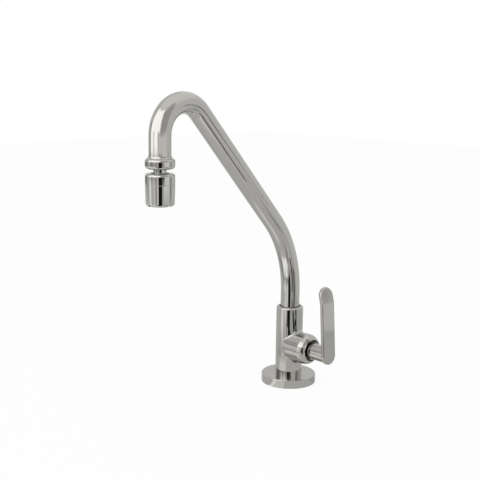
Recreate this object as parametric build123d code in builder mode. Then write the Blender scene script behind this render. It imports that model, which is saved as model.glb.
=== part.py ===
# Kitchen tap: one cold tap for a worktop, with a swivel spout, a quarter-turn lever and a tilting aerator.
# Millimetres. The origin is the centre of the flange's underside, on the worktop. +Z is up, and the
# valve branch with its lever points along +X. The spout leans out at spout_bearing from the branch.
import os
from math import acos, cos, degrees, radians, sin, sqrt, tan

from build123d import *

os.makedirs("parts", exist_ok=True)

# Clearances between pieces
turn_gap = 0.08  # radial gap where one piece turns in another
slip_gap = 0.05  # radial gap between a fixed piece and the hole it is pushed or screwed into
face_gap = 0.03  # water film between faces that slide on each other
seal_gap = 0.04  # a pressed ring seal stops this short of the wall it seals on

# Worktop and the hardware that clamps the tap to it
flange_d = 55.0
flange_h = 8.5
flange_round = 1.0
worktop = 20.0
shank_d = 20.955  # G 1/2 outside thread, over its crests
shank_bore_d = 15.0
shank_below = 50.0
shank_end_chamfer = 0.6
relief_down = 34.0  # a thin relief parts the nut's thread from the inlet's thread below it
relief_w = 1.5
relief_depth = 1.2
shank_into_body = 11.0
pad_d = 44.0
pad_t = 3.0
steel_washer_d = 40.0
steel_washer_t = 2.0
locknut_flats = 27.0
locknut_h = 7.0
flange_pad_d = 46.0
flange_pad_width = 8.0
flange_pad_t = 2.5

# Valve body: an upright barrel with a side branch
barrel_d = 27.0
barrel_round = 2.0
branch_z = 38.7
branch_root_d = 26.6  # where the branch leaves the barrel's axis
branch_d = 30.2
branch_swell = 9.0  # the branch reaches its full size this far from the barrel's axis
branch_end = 19.3
cast_round = 3.0  # blend in the corner between the branch and the barrel
spigot_d = 26.6
spigot_end = 25.0
plenum_h = 2.0
inlet_way_d = 7.0
inlet_way_back = 7.5  # behind the barrel's axis
port_d = 8.0
seat_back = 2.0
chamber_d = 20.0
chamber_end = 14.0
housing_thread_d = 22.0
outlet_way_d = 8.0
outlet_way_x = 4.0
socket_rise = 15.3  # the floor of the spout's socket, above the branch's axis
socket_depth = 25.0

# Quarter-turn cartridge, measured along the branch from the barrel's axis
seat_seal_t = 2.8
seat_seal_d = 14.6
seat_seal_bore_d = 8.6
nose_d = 18.4
nose_bore_d = 15.4
nose_gap = 0.6  # between the cartridge's nose and the barrel's seat
disc_d = 14.8
disc_t = 3.0
disc_port_inner = 1.6
disc_port_outer = 5.8
disc_port_angle = 76.0
window_start = 7.6
window_length = 4.6
driver_d = 14.2
driver_t = 3.2
stem_d = 10.0
housing_flange_d = 26.0
housing_flange_t = 2.0
housing_neck_d = 15.0
housing_neck_end = 29.6
housing_seal_x = 22.4
stem_seal_places = (17.0, 20.0)
circlip_t = 0.9
clip_groove_depth = 0.6
stem_land = 0.5
circlip_d = 13.6
spline_d = 8.0
spline_end = 45.0
ring_section = 1.8  # thickness of the small ring seals
groove_width = 2.3

# Bonnet ring
bonnet_d = 30.5
bonnet_end = 31.9
bonnet_round = 9.0
bonnet_crown = 1.2  # how far the round would reach beyond the ring's end, but for the mouth
bonnet_edge_round = 0.5
bonnet_mouth_d = 21.6
bonnet_lip_round = 0.2

# Lever
hub_start = 32.4
hub_d = 16.0
hub_rim_d = 17.6
hub_rim_t = 1.6
hub_groove_d = 14.6
hub_groove_t = 1.6
blade_face = 54.7  # at the height of the branch's axis
blade_lean = 3.8  # towards the barrel
blade_t = 4.2
blade_width = 17.8
blade_bend_rise = 52.2  # along the blade, above the branch's axis
blade_bend_angle = 11.0
blade_bend_radius = 2.0
blade_tip_rise = 68.1
blade_edge_round = 1.5
hub_bore_end = 46.0
set_screw_d = 5.0
set_screw_l = 3.6
set_screw_x = 40.0
set_screw_key = 2.5

# Spout tube: rises, leans out, runs straight, turns over in a crook and drops
spout_bearing = -85.2
tube_d = 19.05
tube_wall = 1.2
tube_rise = 15.3  # straight part above the barrel
lean_radius = 107.8
lean_angle = 44.0
slant_run = 148.5
crook_radius = 26.9
drop_run = 20.72  # straight part down from the crook

# Swivel foot of the spout
glide_t = 1.0
ferrule_wall = 1.145
ferrule_bore_d = 14.0
ferrule_step = 7.0
ferrule_seal_steps = (2.0, 5.0)
clip_t = 1.0
clip_bite = 0.45
clip_clear = 0.4
clip_opening = 6.0
bush_h = 9.64
bush_sink = 0.3

# Outlet collar on the end of the spout
collar_d = 25.4
collar_h = 10.8
collar_shoulder_h = 6.6
collar_wall = 1.8
collar_web = 1.0
collar_web_h = 5.6
collar_web_bore_d = 15.0
collar_lip = 0.3
collar_round = 3.0

# Swivel joint of the aerator head
ball_drop = 10.0  # the ball's centre below the collar
neck_d = 11.3
stem_bore_d = 6.4
stem_plate_t = 4.0
gasket_t = 1.2
slip_ring_t = 1.15
slip_ring_foot = 2.0  # degrees above the ball's equator
slip_ring_top = 28.0
cap_d = 25.3
cap_rise = 6.5  # above the ball's centre
cap_wall = 1.45
cap_liner = 1.49  # the cap's wall round the ball's zone
cap_round = 2.2
cap_mouth_d = 15.6
seam_drop = 2.7  # below the ball's centre
seam_bevel = 0.25

# Aerator head below the seam
head_taper = 0.45
head_round = 2.4
head_lip = 0.9
head_lip_t = 2.0
spigot_wall = 0.95
spigot_drop = 0.3  # the spigot stops this far below the ball's centre
tool_slots = 4
tool_slot_w = 3.0
tool_slot_h = 1.6
grid_t = 4.0
grid_pitch = 2.5
grid_wall = 0.4
grid_count = 9
core_t = 4.0
core_holes = 8
core_hole_d = 1.6
core_hole_ring_d = 14.0
core_recess_d = 17.0
screen_count = 2
screen_rows = 11
screen_t = 0.3
screen_gap = 0.25
screen_pitch = 1.5
screen_hole = 1.1
head_gasket_t = 1.0
cup_bore_d = 8.0
cup_floor = 0.67

# Places that follow from the sizes above
seat_x = -seat_back
inlet_way_x = -inlet_way_back
socket_floor = branch_z + socket_rise
barrel_top = socket_floor + socket_depth
ferrule_top = barrel_top - bush_sink - bush_h - clip_t - 2 * face_gap
socket_bore_d = tube_d + 2 * (slip_gap + ferrule_wall + turn_gap)
lean_start = barrel_top + tube_rise
crook_angle = 180.0 - lean_angle
lean_x = lean_radius * (1 - cos(radians(lean_angle)))
lean_z = lean_start + lean_radius * sin(radians(lean_angle))
slant_x = lean_x + slant_run * sin(radians(lean_angle))
slant_z = lean_z + slant_run * cos(radians(lean_angle))
crook_x = slant_x + crook_radius * cos(radians(lean_angle))
crook_z = slant_z - crook_radius * sin(radians(lean_angle))
reach = crook_x + crook_radius
spout_out = Vector(cos(radians(spout_bearing)), sin(radians(spout_bearing)), 0)
outlet = spout_out * reach
tube_end = crook_z - drop_run
collar_web_bottom = tube_end - collar_web
collar_bottom = collar_web_bottom - collar_web_h
collar_shoulder = collar_bottom + collar_shoulder_h
collar_flare_top = collar_bottom + collar_h
collar_thread_d = collar_d - 2 * collar_wall
ball_z = collar_bottom - ball_drop
cap_top = ball_z + cap_rise
head_seam = ball_z - seam_drop
head_spigot_d = cap_d - 2 * cap_wall - 2 * slip_gap
head_spigot_top = ball_z - spigot_drop
head_bore_d = head_spigot_d - 2 * spigot_wall
head_lip_d = head_bore_d - 2 * head_lip
head_bottom_d = cap_d - 2 * head_taper
cavity_r = head_spigot_d / 2 + slip_gap - cap_liner
slip_outer = cavity_r - turn_gap
slip_inner = slip_outer - slip_ring_t
ball_r = slip_inner - turn_gap
cup_z = ball_z - slip_inner - cup_floor
gasket_z = cup_z - head_gasket_t
screen_z = gasket_z + screen_gap - screen_count * (screen_t + screen_gap)
core_z = screen_z - core_t
grid_z = core_z - grid_t
head_bottom = grid_z - head_lip_t
shank_top = flange_h + shank_into_body
spout_foot = socket_floor + glide_t + face_gap
tube_foot = spout_foot + ferrule_step
fixed_disc_x = seat_x + seat_seal_t
moving_disc_x = fixed_disc_x + disc_t + face_gap
driver_x = moving_disc_x + disc_t
circlip_x = housing_neck_end + face_gap
stem_shoulder = circlip_x + circlip_t + stem_land
stem_hole_d = stem_d + 2 * turn_gap
shank_seal_z = shank_top - groove_width

# Working planes and axes
spout_plane = Plane(origin=(0, 0, 0), x_dir=spout_out, z_dir=spout_out.cross(Vector(0, 0, 1)))
outlet_side = Plane(origin=outlet, x_dir=spout_out, z_dir=spout_plane.z_dir)
outlet_axis = Axis(outlet, (0, 0, 1))
branch_side = Plane(origin=(0, 0, branch_z), x_dir=(1, 0, 0), z_dir=(0, -1, 0))
branch_axis = Axis((0, 0, branch_z), (1, 0, 0))
blade_out = Vector(cos(radians(blade_lean)), 0, sin(radians(blade_lean)))
blade_front = Plane(origin=(blade_face, 0, branch_z), x_dir=(0, 1, 0), z_dir=blade_out)
blade_side = Plane(origin=(blade_face, 0, branch_z), x_dir=blade_out, z_dir=(0, -1, 0))


def groove_floor(wall_d):
    """Radius of the floor of a seal groove whose ring seals on a wall of this diameter."""
    return wall_d / 2 - ring_section - 2 * seal_gap


def ring_centre(wall_d):
    """Radius of the middle of a ring seal that seals on a wall of this diameter."""
    return wall_d / 2 - seal_gap - ring_section / 2


def branch_face(x):
    """A plane square to the branch at x, with its own x along +Y and its y up."""
    return Plane(origin=(x, 0, branch_z), x_dir=(0, 1, 0), z_dir=(1, 0, 0))


def outlet_face(z):
    """A level plane on the outlet's axis, with its x along the spout."""
    return Plane(origin=(outlet.X, outlet.Y, z), x_dir=spout_out, z_dir=(0, 0, 1))


# Valve body, cast brass: barrel, swelling side branch, threaded spigot and the water ways inside
with BuildPart() as valve_body:
    with BuildSketch(Plane.XY.offset(flange_h)):
        Circle(barrel_d / 2)
    extrude(amount=barrel_top - flange_h)
    fillet(valve_body.edges().sort_by(Axis.Z)[-1], barrel_round)
    with BuildSketch(branch_side):
        with BuildLine():
            Line((0, 0), (0, branch_root_d / 2))
            TangentArc((branch_swell, branch_d / 2), (0, branch_root_d / 2), tangent=(-1, 0))
            Polyline(
                (branch_swell, branch_d / 2),
                (branch_end, branch_d / 2),
                (branch_end, spigot_d / 2),
                (spigot_end, spigot_d / 2),
                (spigot_end, 0),
                (0, 0),
            )
        make_face()
    revolve(axis=branch_axis)
    fillet(valve_body.edges().filter_by(GeomType.BSPLINE), cast_round)
    with BuildSketch(Plane.XY.offset(flange_h)):
        Circle(shank_d / 2 + slip_gap)
    extrude(amount=shank_into_body + plenum_h, mode=Mode.SUBTRACT)
    with BuildSketch(Plane.XY.offset(shank_top)):
        with Locations((inlet_way_x, 0)):
            Circle(inlet_way_d / 2)
    extrude(amount=branch_z + port_d / 2 - shank_top, mode=Mode.SUBTRACT)
    with BuildSketch(branch_face(inlet_way_x)):
        Circle(port_d / 2)
    extrude(amount=seat_x - inlet_way_x, mode=Mode.SUBTRACT)
    with BuildSketch(branch_face(seat_x)):
        Circle(chamber_d / 2)
    extrude(amount=chamber_end - seat_x, mode=Mode.SUBTRACT)
    with BuildSketch(branch_face(chamber_end)):
        Circle(housing_thread_d / 2)
    extrude(amount=spigot_end - chamber_end, mode=Mode.SUBTRACT)
    with BuildSketch(Plane.XY.offset(branch_z)):
        with Locations((outlet_way_x, 0)):
            Circle(outlet_way_d / 2)
    extrude(amount=socket_floor - branch_z, mode=Mode.SUBTRACT)
    with BuildSketch(Plane.XY.offset(socket_floor)):
        Circle(socket_bore_d / 2)
    extrude(amount=barrel_top - socket_floor, mode=Mode.SUBTRACT)
    with BuildSketch(Plane.XY.offset(ferrule_top + face_gap)):
        Circle(socket_bore_d / 2 + clip_bite)
    extrude(amount=clip_t + 2 * face_gap, mode=Mode.SUBTRACT)
valve_body.part.label = "valve_body"
export_step(valve_body.part, "parts/valve_body.step")

# Deck flange: a turned brass disc that the barrel stands on, hollowed below for its rubber pad
with BuildPart() as deck_flange:
    Cylinder(flange_d / 2, flange_h, align=(Align.CENTER, Align.CENTER, Align.MIN))
    fillet(deck_flange.edges().sort_by(Axis.Z)[-1], flange_round)
    with BuildSketch(Plane.XY):
        Circle(shank_d / 2 + slip_gap)
    extrude(amount=flange_h, mode=Mode.SUBTRACT)
    with BuildSketch(Plane.XY):
        Circle(flange_pad_d / 2)
        Circle(flange_pad_d / 2 - flange_pad_width, mode=Mode.SUBTRACT)
    extrude(amount=flange_pad_t, mode=Mode.SUBTRACT)
deck_flange.part.label = "deck_flange"
export_step(deck_flange.part, "parts/deck_flange.step")

# Rubber pad under the flange, level with its rim once the tap is tightened down
with BuildPart() as flange_pad:
    with BuildSketch(Plane.XY):
        Circle(flange_pad_d / 2 - slip_gap)
        Circle(flange_pad_d / 2 - flange_pad_width + slip_gap, mode=Mode.SUBTRACT)
    extrude(amount=flange_pad_t)
flange_pad.part.label = "flange_pad"
export_step(flange_pad.part, "parts/flange_pad.step")

# Threaded shank: a hollow brass stud screwed into the barrel. It is drawn plain at its thread's crests
shank_hole_d = shank_d + 2 * slip_gap
with BuildPart() as inlet_shank:
    with BuildSketch(Plane.XY.offset(-shank_below)):
        Circle(shank_d / 2)
    extrude(amount=shank_below + shank_top)
    chamfer(inlet_shank.edges().sort_by(Axis.Z)[0], shank_end_chamfer)
    with BuildSketch(Plane.XY.offset(-shank_below)):
        Circle(shank_bore_d / 2)
    extrude(amount=shank_below + shank_top, mode=Mode.SUBTRACT)
    with BuildSketch(Plane.XY.offset(shank_seal_z - groove_width / 2)):
        Circle(shank_d / 2)
        Circle(groove_floor(shank_hole_d), mode=Mode.SUBTRACT)
    extrude(amount=groove_width, mode=Mode.SUBTRACT)
    with BuildSketch(Plane.XY.offset(-relief_down)):
        Circle(shank_d / 2)
        Circle(shank_d / 2 - relief_depth, mode=Mode.SUBTRACT)
    extrude(amount=-relief_w, mode=Mode.SUBTRACT)
inlet_shank.part.label = "inlet_shank"
export_step(inlet_shank.part, "parts/inlet_shank.step")

# Ring seal between the shank and the barrel
with BuildPart() as shank_seal:
    with BuildSketch(Plane.XZ):
        with Locations((ring_centre(shank_hole_d), shank_seal_z)):
            Circle(ring_section / 2)
    revolve(axis=Axis.Z)
shank_seal.part.label = "shank_seal"
export_step(shank_seal.part, "parts/shank_seal.step")

# Under the worktop: a rubber pad, a steel washer and a hexagon nut on the shank
with BuildPart() as deck_pad:
    with BuildSketch(Plane.XY.offset(-worktop - pad_t)):
        Circle(pad_d / 2)
        Circle(shank_d / 2 + slip_gap, mode=Mode.SUBTRACT)
    extrude(amount=pad_t)
deck_pad.part.label = "deck_pad"
export_step(deck_pad.part, "parts/deck_pad.step")

with BuildPart() as deck_washer:
    with BuildSketch(Plane.XY.offset(-worktop - pad_t - steel_washer_t)):
        Circle(steel_washer_d / 2)
        Circle(shank_d / 2 + slip_gap, mode=Mode.SUBTRACT)
    extrude(amount=steel_washer_t)
deck_washer.part.label = "deck_washer"
export_step(deck_washer.part, "parts/deck_washer.step")

nut_top = -worktop - pad_t - steel_washer_t
with BuildPart() as deck_locknut:
    with BuildSketch(Plane.XY.offset(nut_top - locknut_h)):
        RegularPolygon(locknut_flats / 2, 6, major_radius=False)
    extrude(amount=locknut_h)
    with BuildSketch(Plane.XZ):
        with BuildLine():
            Polyline(
                (locknut_flats / 2, nut_top),
                (locknut_flats, nut_top),
                (locknut_flats, nut_top - locknut_flats / 4),
                close=True,
            )
        make_face()
    revolve(axis=Axis.Z, mode=Mode.SUBTRACT)
    with BuildSketch(Plane.XY.offset(nut_top - locknut_h)):
        Circle(shank_d / 2 + slip_gap)
    extrude(amount=locknut_h, mode=Mode.SUBTRACT)
deck_locknut.part.label = "deck_locknut"
export_step(deck_locknut.part, "parts/deck_locknut.step")

# Seat seal: the rubber ring that the cartridge presses on the inlet port
with BuildPart() as seat_seal:
    with BuildSketch(branch_face(seat_x)):
        Circle(seat_seal_d / 2)
        Circle(seat_seal_bore_d / 2, mode=Mode.SUBTRACT)
    extrude(amount=seat_seal_t)
seat_seal.part.label = "seat_seal"
export_step(seat_seal.part, "parts/seat_seal.step")

# Cartridge housing, turned brass: nose round the discs, thread in the branch, flange on the spigot, neck
nose_x = seat_x + nose_gap
with BuildPart() as cartridge_housing:
    with BuildSketch(branch_side):
        with BuildLine():
            Polyline(
                (nose_x, nose_bore_d / 2),
                (nose_x, nose_d / 2),
                (chamber_end + slip_gap, nose_d / 2),
                (chamber_end + slip_gap, housing_thread_d / 2 - slip_gap),
                (spigot_end, housing_thread_d / 2 - slip_gap),
                (spigot_end, housing_flange_d / 2),
                (spigot_end + housing_flange_t, housing_flange_d / 2),
                (spigot_end + housing_flange_t, housing_neck_d / 2),
                (housing_neck_end, housing_neck_d / 2),
                (housing_neck_end, stem_hole_d / 2),
                (driver_x + driver_t + face_gap, stem_hole_d / 2),
                (driver_x + driver_t + face_gap, nose_bore_d / 2),
                close=True,
            )
        make_face()
    revolve(axis=branch_axis)
    with BuildSketch(Plane.XY.offset(branch_z - nose_d)):
        with Locations((window_start + window_length / 2, 0)):
            Rectangle(window_length, nose_bore_d * 0.6)
    extrude(amount=2 * nose_d, mode=Mode.SUBTRACT)
    with BuildSketch(branch_face(housing_seal_x - groove_width / 2)):
        Circle(housing_thread_d / 2)
        Circle(groove_floor(housing_thread_d), mode=Mode.SUBTRACT)
    extrude(amount=groove_width, mode=Mode.SUBTRACT)
cartridge_housing.part.label = "cartridge_housing"
export_step(cartridge_housing.part, "parts/cartridge_housing.step")

with BuildPart() as housing_seal:
    with BuildSketch(branch_side):
        with Locations((housing_seal_x, ring_centre(housing_thread_d))):
            Circle(ring_section / 2)
    revolve(axis=branch_axis)
housing_seal.part.label = "housing_seal"
export_step(housing_seal.part, "parts/housing_seal.step")

# Two ceramic discs, each with a pair of opposite ports; the ports line up when the lever is turned forward
disc_places = {"fixed_disc": (fixed_disc_x, 0), "moving_disc": (moving_disc_x, 90)}
for disc_name, (disc_x, port_turn) in disc_places.items():
    with BuildPart() as disc:
        with BuildSketch(branch_face(disc_x)):
            Circle(disc_d / 2)
            for side in (0, 180):
                with BuildLine():
                    first = port_turn + side - disc_port_angle / 2
                    outer = CenterArc((0, 0), disc_port_outer, first, disc_port_angle)
                    inner = CenterArc((0, 0), disc_port_inner, first, disc_port_angle)
                    Line(outer @ 0, inner @ 0)
                    Line(outer @ 1, inner @ 1)
                make_face(mode=Mode.SUBTRACT)
        extrude(amount=disc_t)
    disc.part.label = disc_name
    export_step(disc.part, f"parts/{disc_name}.step")

# Cartridge stem, brass: a driver plate on the moving disc, a round shaft with two seal grooves, a clip groove
# and a square-cut end that the lever fits
with BuildPart() as cartridge_stem:
    with BuildSketch(branch_face(driver_x)):
        Circle(driver_d / 2)
    extrude(amount=driver_t)
    with BuildSketch(branch_face(driver_x + driver_t)):
        Circle(stem_d / 2)
    extrude(amount=stem_shoulder - driver_x - driver_t)
    with BuildSketch(branch_face(stem_shoulder)):
        Circle(spline_d / 2)
    extrude(amount=spline_end - stem_shoulder)
    for seal_x in stem_seal_places:
        with BuildSketch(branch_face(seal_x - groove_width / 2)):
            Circle(stem_d / 2)
            Circle(groove_floor(stem_hole_d), mode=Mode.SUBTRACT)
        extrude(amount=groove_width, mode=Mode.SUBTRACT)
    with BuildSketch(branch_face(circlip_x)):
        Circle(stem_d / 2)
        Circle(stem_d / 2 - clip_groove_depth, mode=Mode.SUBTRACT)
    extrude(amount=circlip_t, mode=Mode.SUBTRACT)
cartridge_stem.part.label = "cartridge_stem"
export_step(cartridge_stem.part, "parts/cartridge_stem.step")

# Ring seals on the stem, one solid each
with BuildPart() as stem_seals:
    with BuildSketch(branch_side):
        for seal_x in stem_seal_places:
            with Locations((seal_x, ring_centre(stem_hole_d))):
                Circle(ring_section / 2)
    revolve(axis=branch_axis)
stem_seals.part.label = "stem_seals"
export_step(stem_seals.part, "parts/stem_seals.step")

# Spring clip that keeps the stem in the housing: an open ring in the stem's groove
with BuildPart() as stem_clip:
    with BuildSketch(branch_face(circlip_x)):
        Circle(circlip_d / 2)
        Circle(stem_d / 2 - clip_groove_depth + slip_gap, mode=Mode.SUBTRACT)
        with Locations((0, -stem_d / 2)):
            Rectangle(stem_d / 2, stem_d / 2, mode=Mode.SUBTRACT)
    extrude(amount=circlip_t - slip_gap)
stem_clip.part.label = "stem_clip"
export_step(stem_clip.part, "parts/stem_clip.step")

# Bonnet ring: a chromed cap ring screwed on the spigot, over the cartridge's flange
with BuildPart() as bonnet_ring:
    with BuildSketch(branch_face(branch_end)):
        Circle(bonnet_d / 2)
    extrude(amount=bonnet_end + bonnet_crown - branch_end)
    fillet(bonnet_ring.edges().sort_by(Axis.X)[-1], bonnet_round)
    fillet(bonnet_ring.edges().sort_by(Axis.X)[0], bonnet_edge_round)
    with BuildSketch(branch_face(branch_end)):
        Circle(spigot_d / 2 + slip_gap)
    extrude(amount=spigot_end + housing_flange_t - branch_end, mode=Mode.SUBTRACT)
    with BuildSketch(branch_face(branch_end)):
        Circle(bonnet_mouth_d / 2)
    extrude(amount=bonnet_end + bonnet_crown - branch_end, mode=Mode.SUBTRACT)
    fillet(bonnet_ring.edges().sort_by(Axis.X)[-1], bonnet_lip_round)
bonnet_ring.part.label = "bonnet_ring"
export_step(bonnet_ring.part, "parts/bonnet_ring.step")

# Lever: a flat blade with round ends that leans a little towards the barrel, and more above its bend, on a hub
# with a rim and a groove
blade_half = blade_width / 2
tip_back = (blade_tip_rise - blade_bend_rise) * tan(radians(blade_bend_angle))
with BuildPart() as lever_handle:
    with BuildSketch(blade_side):
        with BuildLine():
            Polyline(
                (-blade_t, -blade_half),
                (0, -blade_half),
                (0, blade_bend_rise),
                (-tip_back, blade_tip_rise),
                (-blade_t - tip_back, blade_tip_rise),
                (-blade_t, blade_bend_rise),
                close=True,
            )
        make_face()
    extrude(amount=blade_half, both=True)
    bend_edges = lever_handle.edges().filter_by(Axis.Y).sort_by(Axis.Z)[2:4]
    fillet(bend_edges.sort_by(Axis.X)[-1], blade_bend_radius + blade_t)
    fillet(bend_edges.sort_by(Axis.X)[0], blade_bend_radius)
    with BuildSketch(blade_front.offset(-blade_t - tip_back)):
        with BuildLine():
            Line((-blade_half, 0), (-blade_half, blade_tip_rise - blade_half))
            CenterArc((0, blade_tip_rise - blade_half), blade_half, 180, -180)
            Line((blade_half, blade_tip_rise - blade_half), (blade_half, 0))
            CenterArc((0, 0), blade_half, 0, -180)
        make_face()
    extrude(amount=blade_t + tip_back, mode=Mode.INTERSECT)
    blade_rim = lever_handle.edges().filter_by(Axis.Y, reverse=True)
    fillet(blade_rim.filter_by(Axis((0, 0, 0), blade_out), reverse=True), blade_edge_round)
    with BuildSketch(branch_side):
        with BuildLine():
            Polyline(
                (hub_start, 0),
                (hub_start, hub_rim_d / 2),
                (hub_start + hub_rim_t, hub_rim_d / 2),
                (hub_start + hub_rim_t, hub_groove_d / 2),
                (hub_start + hub_rim_t + hub_groove_t, hub_groove_d / 2),
                (hub_start + hub_rim_t + hub_groove_t, hub_d / 2),
                (blade_face - blade_t / 2, hub_d / 2),
                (blade_face - blade_t / 2, 0),
                close=True,
            )
        make_face()
    revolve(axis=branch_axis)
    with BuildSketch(branch_face(hub_start)):
        Circle(spline_d / 2 + slip_gap)
    extrude(amount=hub_bore_end - hub_start, mode=Mode.SUBTRACT)
    with BuildSketch(Plane.XY.offset(branch_z)):
        with Locations((set_screw_x, 0)):
            Circle(set_screw_d / 2 + slip_gap)
    extrude(amount=-hub_d, mode=Mode.SUBTRACT)
lever_handle.part.label = "lever_handle"
export_step(lever_handle.part, "parts/lever_handle.step")

# Set screw under the hub, with a hexagon socket; its point bears on the stem
with BuildPart() as lever_set_screw:
    with BuildSketch(Plane.XY.offset(branch_z - spline_d / 2 - slip_gap)):
        with Locations((set_screw_x, 0)):
            Circle(set_screw_d / 2)
    extrude(amount=-set_screw_l)
    with BuildSketch(Plane.XY.offset(branch_z - spline_d / 2 - slip_gap - set_screw_l)):
        with Locations((set_screw_x, 0)):
            RegularPolygon(set_screw_key / 2, 6, major_radius=False)
    extrude(amount=set_screw_key, mode=Mode.SUBTRACT)
lever_set_screw.part.label = "lever_set_screw"
export_step(lever_set_screw.part, "parts/lever_set_screw.step")

# Spout tube, drawn brass, bent twice in one upright plane
with BuildPart() as spout_tube:
    with BuildLine(spout_plane) as spout_path:
        Line((0, tube_foot), (0, lean_start))
        CenterArc((lean_radius, lean_start), lean_radius, 180, -lean_angle)
        Line((lean_x, lean_z), (slant_x, slant_z))
        CenterArc((crook_x, crook_z), crook_radius, crook_angle, -crook_angle)
        Line((reach, crook_z), (reach, tube_end))
    with BuildSketch(Plane.XY.offset(tube_foot)):
        Circle(tube_d / 2)
        Circle(tube_d / 2 - tube_wall, mode=Mode.SUBTRACT)
    sweep(path=spout_path.line)
spout_tube.part.label = "spout_tube"
export_step(spout_tube.part, "parts/spout_tube.step")

# Ferrule brazed on the foot of the tube: it turns in the barrel's socket on two ring seals
with BuildPart() as spout_ferrule:
    with BuildSketch(Plane.XY.offset(spout_foot)):
        Circle(socket_bore_d / 2 - turn_gap)
        Circle(ferrule_bore_d / 2, mode=Mode.SUBTRACT)
    extrude(amount=ferrule_top - spout_foot)
    with BuildSketch(Plane.XY.offset(tube_foot)):
        Circle(tube_d / 2 + slip_gap)
    extrude(amount=ferrule_top - tube_foot, mode=Mode.SUBTRACT)
    for step_up in ferrule_seal_steps:
        with BuildSketch(Plane.XY.offset(spout_foot + step_up - groove_width / 2)):
            Circle(socket_bore_d / 2)
            Circle(groove_floor(socket_bore_d), mode=Mode.SUBTRACT)
        extrude(amount=groove_width, mode=Mode.SUBTRACT)
spout_ferrule.part.label = "spout_ferrule"
export_step(spout_ferrule.part, "parts/spout_ferrule.step")

with BuildPart() as spout_seals:
    with BuildSketch(Plane.XZ):
        for step_up in ferrule_seal_steps:
            with Locations((ring_centre(socket_bore_d), spout_foot + step_up)):
                Circle(ring_section / 2)
    revolve(axis=Axis.Z)
spout_seals.part.label = "spout_seals"
export_step(spout_seals.part, "parts/spout_seals.step")

# In the barrel's socket: a slippery washer under the ferrule, a spring clip over it and a guide bush on top
with BuildPart() as glide_washer:
    with BuildSketch(Plane.XY.offset(socket_floor)):
        Circle(socket_bore_d / 2 - slip_gap)
        Circle(ferrule_bore_d / 2, mode=Mode.SUBTRACT)
    extrude(amount=glide_t)
glide_washer.part.label = "glide_washer"
export_step(glide_washer.part, "parts/glide_washer.step")

with BuildPart() as spout_clip:
    with BuildSketch(Plane.XY.offset(ferrule_top + face_gap)):
        Circle(socket_bore_d / 2 + clip_bite - slip_gap)
        Circle(tube_d / 2 + clip_clear, mode=Mode.SUBTRACT)
        with Locations((-socket_bore_d / 2, 0)):
            Rectangle(socket_bore_d / 2, clip_opening, mode=Mode.SUBTRACT)
    extrude(amount=clip_t)
spout_clip.part.label = "spout_clip"
export_step(spout_clip.part, "parts/spout_clip.step")

with BuildPart() as guide_bush:
    with BuildSketch(Plane.XY.offset(ferrule_top + clip_t + 2 * face_gap)):
        Circle(socket_bore_d / 2 - slip_gap)
        Circle(tube_d / 2 + turn_gap, mode=Mode.SUBTRACT)
    extrude(amount=barrel_top - bush_sink - ferrule_top - clip_t - 2 * face_gap)
guide_bush.part.label = "guide_bush"
export_step(guide_bush.part, "parts/guide_bush.step")

# Outlet collar, turned brass, brazed on the end of the tube: a flared shoulder above, a thread inside below
flare_in = tube_d / 2 + slip_gap + collar_lip
flare_mid = ((flare_in + collar_d / 2) / 2, (collar_flare_top + collar_shoulder) / 2)
flare_half = collar_d / 4 - flare_in / 2
flare_drop = (collar_flare_top - collar_shoulder) / 2
flare_radius = (flare_half**2 + flare_drop**2) / (2 * flare_half)
foot_centre = (collar_d / 2 - collar_round, collar_bottom + collar_round)
foot_angle = degrees(acos(1 - collar_wall / collar_round))
with BuildPart() as outlet_collar:
    with BuildSketch(outlet_side):
        with BuildLine():
            foot = CenterArc(foot_centre, collar_round, 0, -foot_angle)
            Polyline(
                (flare_in, collar_flare_top),
                (tube_d / 2 + slip_gap, collar_flare_top),
                (tube_d / 2 + slip_gap, tube_end),
                (collar_web_bore_d / 2, tube_end),
                (collar_web_bore_d / 2, collar_web_bottom),
                (collar_thread_d / 2, collar_web_bottom),
                foot @ 1,
            )
            Line(foot @ 0, (collar_d / 2, collar_shoulder))
            RadiusArc((collar_d / 2, collar_shoulder), flare_mid, -flare_radius)
            RadiusArc(flare_mid, (flare_in, collar_flare_top), flare_radius)
        make_face()
    revolve(axis=outlet_axis)
outlet_collar.part.label = "outlet_collar"
export_step(outlet_collar.part, "parts/outlet_collar.step")

# Flat rubber ring that seals the swivel stem in the collar
with BuildPart() as collar_gasket:
    with BuildSketch(outlet_face(collar_web_bottom - gasket_t)):
        Circle(collar_thread_d / 2 - slip_gap)
        Circle(collar_web_bore_d / 2, mode=Mode.SUBTRACT)
    extrude(amount=gasket_t)
collar_gasket.part.label = "collar_gasket"
export_step(collar_gasket.part, "parts/collar_gasket.step")

# Swivel stem, brass: a threaded plate in the collar, a neck, and the hollow ball that the head tilts on
stem_bore_r = stem_bore_d / 2
plate_top = collar_web_bottom - gasket_t
with BuildPart() as swivel_stem:
    with BuildSketch(outlet_side):
        with BuildLine():
            ball_foot = (stem_bore_r, ball_z - sqrt(ball_r**2 - stem_bore_r**2))
            neck_foot = (neck_d / 2, ball_z + sqrt(ball_r**2 - neck_d**2 / 4))
            ThreePointArc(ball_foot, (ball_r, ball_z), neck_foot)
            Polyline(
                neck_foot,
                (neck_d / 2, plate_top - stem_plate_t),
                (collar_thread_d / 2 - slip_gap, plate_top - stem_plate_t),
                (collar_thread_d / 2 - slip_gap, plate_top),
                (stem_bore_r, plate_top),
                ball_foot,
            )
        make_face()
    revolve(axis=outlet_axis)
swivel_stem.part.label = "swivel_stem"
export_step(swivel_stem.part, "parts/swivel_stem.step")

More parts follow.
